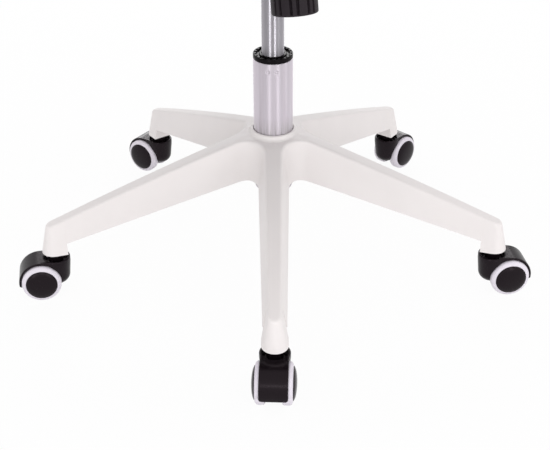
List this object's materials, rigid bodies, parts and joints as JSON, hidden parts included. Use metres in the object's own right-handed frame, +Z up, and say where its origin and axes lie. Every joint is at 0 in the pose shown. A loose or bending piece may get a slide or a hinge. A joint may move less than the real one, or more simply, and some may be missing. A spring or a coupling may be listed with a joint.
{
  "type": "swivel task chair",
  "caption": "Armless swivel task chair: white moulded star base on black twin-wheel casters, silver gas lift, tilt mechanism with a fluted tension knob, dark padded seat and back.",
  "frame": {"origin": "on the floor, on the column's axis", "axes": "+Z up the column; the sitter faces -Y, so the back is at +Y and the height lever is at -X"},
  "size_m": [0.6398, 0.6599, 1.03],
  "materials": {
    "base_plastic": "satin moulded nylon",
    "column_paint": "smooth silver-grey paint",
    "steel": "bright drawn steel",
    "black_plastic": "fine satin moulding",
    "black_paint": "powder coat",
    "tyre_plastic": "smooth soft tread",
    "shell_plastic": "satin moulding",
    "cover_fabric": "plain woven cover"
  },
  "bodies": {
    "base": {"star_base": "base_plastic", "column_tube": "column_paint", "column_bush": "black_plastic", "thrust_bearing": "steel", "caster_stems": "steel"},
    "lift_rod": {"piston_rod": "steel", "rod_clip": "steel"},
    "lift": {"gas_cylinder": "steel", "mech_housing": "black_paint", "tilt_axle": "steel", "tilt_spring": "steel", "lever_pivot": "steel"},
    "valve": {"release_pin": "steel"},
    "lever": {"height_lever": "steel", "lever_grip": "black_plastic"},
    "knob": {"tension_knob": "black_plastic", "tension_bolt": "steel"},
    "follower": {"spring_follower": "steel"},
    "seat": {"seat_plate": "black_paint", "seat_pan": "black_plastic", "seat_bolts": "steel", "seat_cushion": "cover_fabric", "back_bar": "black_paint", "bar_bolts": "steel", "back_shell": "shell_plastic", "back_bolts": "steel", "back_cushion": "cover_fabric"},
    "caster_1": {"caster_hood_1": "black_plastic", "caster_axle_1": "steel"},
    "left_wheel_1": {"wheel_left_1": "black_plastic", "tyre_left_1": "tyre_plastic"},
    "right_wheel_1": {"wheel_right_1": "black_plastic", "tyre_right_1": "tyre_plastic"},
    "caster_2": {"caster_hood_2": "black_plastic", "caster_axle_2": "steel"},
    "left_wheel_2": {"wheel_left_2": "black_plastic", "tyre_left_2": "tyre_plastic"},
    "right_wheel_2": {"wheel_right_2": "black_plastic", "tyre_right_2": "tyre_plastic"},
    "caster_3": {"caster_hood_3": "black_plastic", "caster_axle_3": "steel"},
    "left_wheel_3": {"wheel_left_3": "black_plastic", "tyre_left_3": "tyre_plastic"},
    "right_wheel_3": {"wheel_right_3": "black_plastic", "tyre_right_3": "tyre_plastic"},
    "caster_4": {"caster_hood_4": "black_plastic", "caster_axle_4": "steel"},
    "left_wheel_4": {"wheel_left_4": "black_plastic", "tyre_left_4": "tyre_plastic"},
    "right_wheel_4": {"wheel_right_4": "black_plastic", "tyre_right_4": "tyre_plastic"},
    "caster_5": {"caster_hood_5": "black_plastic", "caster_axle_5": "steel"},
    "left_wheel_5": {"wheel_left_5": "black_plastic", "tyre_left_5": "tyre_plastic"},
    "right_wheel_5": {"wheel_right_5": "black_plastic", "tyre_right_5": "tyre_plastic"}
  },
  "joints": [
    {"name": "chair_swivel", "type": "hinge", "parent": "base", "child": "lift_rod", "pos_m": [0, 0, 0.2], "axis": [0, 0, 1], "continuous": true},
    {"name": "lift_slide", "type": "slide", "parent": "lift_rod", "child": "lift", "axis": [0, 0, 1], "range_m": [-0.08, 0]},
    {"name": "valve_press", "type": "slide", "parent": "lift", "child": "valve", "axis": [0, 0, -1], "range_m": [0, 0.004]},
    {"name": "lever_lift", "type": "hinge", "parent": "lift", "child": "lever", "pos_m": [-0.03, 0, 0.448], "axis": [0, 1, 0], "range_deg": [0, 6], "stiffness_Nm_per_rad": 0.6, "springref_deg": -17.19},
    {"name": "knob_turn", "type": "hinge", "parent": "lift", "child": "knob", "pos_m": [0, -0.0755, 0.3708], "axis": [0, 0.225, 0.9744], "range_deg": [0, 1440], "deforming": ["tilt_spring"]},
    {"name": "follower_slide", "type": "slide", "parent": "lift", "child": "follower", "axis": [0, 0.225, 0.9744], "range_m": [0, 0.006], "deforming": ["tilt_spring"]},
    {"name": "seat_tilt", "type": "hinge", "parent": "lift", "child": "seat", "pos_m": [0, -0.115, 0.462], "axis": [-1, 0, 0], "range_deg": [0, 12], "stiffness_Nm_per_rad": 70, "springref_deg": -28.65, "deforming": ["tilt_spring"]},
    {"name": "caster_swivel_1", "type": "hinge", "parent": "base", "child": "caster_1", "pos_m": [-0.10055, -0.27627, 0.05], "axis": [0, 0, 1], "continuous": true},
    {"name": "left_wheel_roll_1", "type": "hinge", "parent": "caster_1", "child": "left_wheel_1", "pos_m": [-0.10852, -0.29505, 0.025], "axis": [0.9205, -0.3907, 0], "continuous": true},
    {"name": "right_wheel_roll_1", "type": "hinge", "parent": "caster_1", "child": "right_wheel_1", "pos_m": [-0.10852, -0.29505, 0.025], "axis": [0.9205, -0.3907, 0], "continuous": true},
    {"name": "caster_swivel_2", "type": "hinge", "parent": "base", "child": "caster_2", "pos_m": [0.23168, -0.181, 0.05], "axis": [0, 0, 1], "continuous": true},
    {"name": "left_wheel_roll_2", "type": "hinge", "parent": "caster_2", "child": "left_wheel_2", "pos_m": [0.25163, -0.18525, 0.025], "axis": [0.2079, 0.9781, 0], "continuous": true},
    {"name": "right_wheel_roll_2", "type": "hinge", "parent": "caster_2", "child": "right_wheel_2", "pos_m": [0.25163, -0.18525, 0.025], "axis": [0.2079, 0.9781, 0], "continuous": true},
    {"name": "caster_swivel_3", "type": "hinge", "parent": "base", "child": "caster_3", "pos_m": [0.24374, 0.1644, 0.05], "axis": [0, 0, 1], "continuous": true},
    {"name": "left_wheel_roll_3", "type": "hinge", "parent": "caster_3", "child": "left_wheel_3", "pos_m": [0.26207, 0.17335, 0.025], "axis": [-0.4384, 0.8988, 0], "continuous": true},
    {"name": "right_wheel_roll_3", "type": "hinge", "parent": "caster_3", "child": "right_wheel_3", "pos_m": [0.26207, 0.17335, 0.025], "axis": [-0.4384, 0.8988, 0], "continuous": true},
    {"name": "caster_swivel_4", "type": "hinge", "parent": "base", "child": "caster_4", "pos_m": [-0.08104, 0.28261, 0.05], "axis": [0, 0, 1], "continuous": true},
    {"name": "left_wheel_roll_4", "type": "hinge", "parent": "caster_4", "child": "left_wheel_4", "pos_m": [-0.09274, 0.29932, 0.025], "axis": [-0.8192, -0.5736, 0], "continuous": true},
    {"name": "right_wheel_roll_4", "type": "hinge", "parent": "caster_4", "child": "right_wheel_4", "pos_m": [-0.09274, 0.29932, 0.025], "axis": [-0.8192, -0.5736, 0], "continuous": true},
    {"name": "caster_swivel_5", "type": "hinge", "parent": "base", "child": "caster_5", "pos_m": [-0.29382, 0.01026, 0.05], "axis": [0, 0, 1], "continuous": true},
    {"name": "left_wheel_roll_5", "type": "hinge", "parent": "caster_5", "child": "left_wheel_5", "pos_m": [-0.31385, 0.01415, 0.025], "axis": [-0.1908, -0.9816, 0], "continuous": true},
    {"name": "right_wheel_roll_5", "type": "hinge", "parent": "caster_5", "child": "right_wheel_5", "pos_m": [-0.31385, 0.01415, 0.025], "axis": [-0.1908, -0.9816, 0], "continuous": true}
  ],
  "couplings": [
    {"joint": "valve_press", "follows": "lever_lift", "m_per_rad": 0.032},
    {"joint": "follower_slide", "follows": "knob_turn", "m_per_rad": 0.00023873}
  ]
}
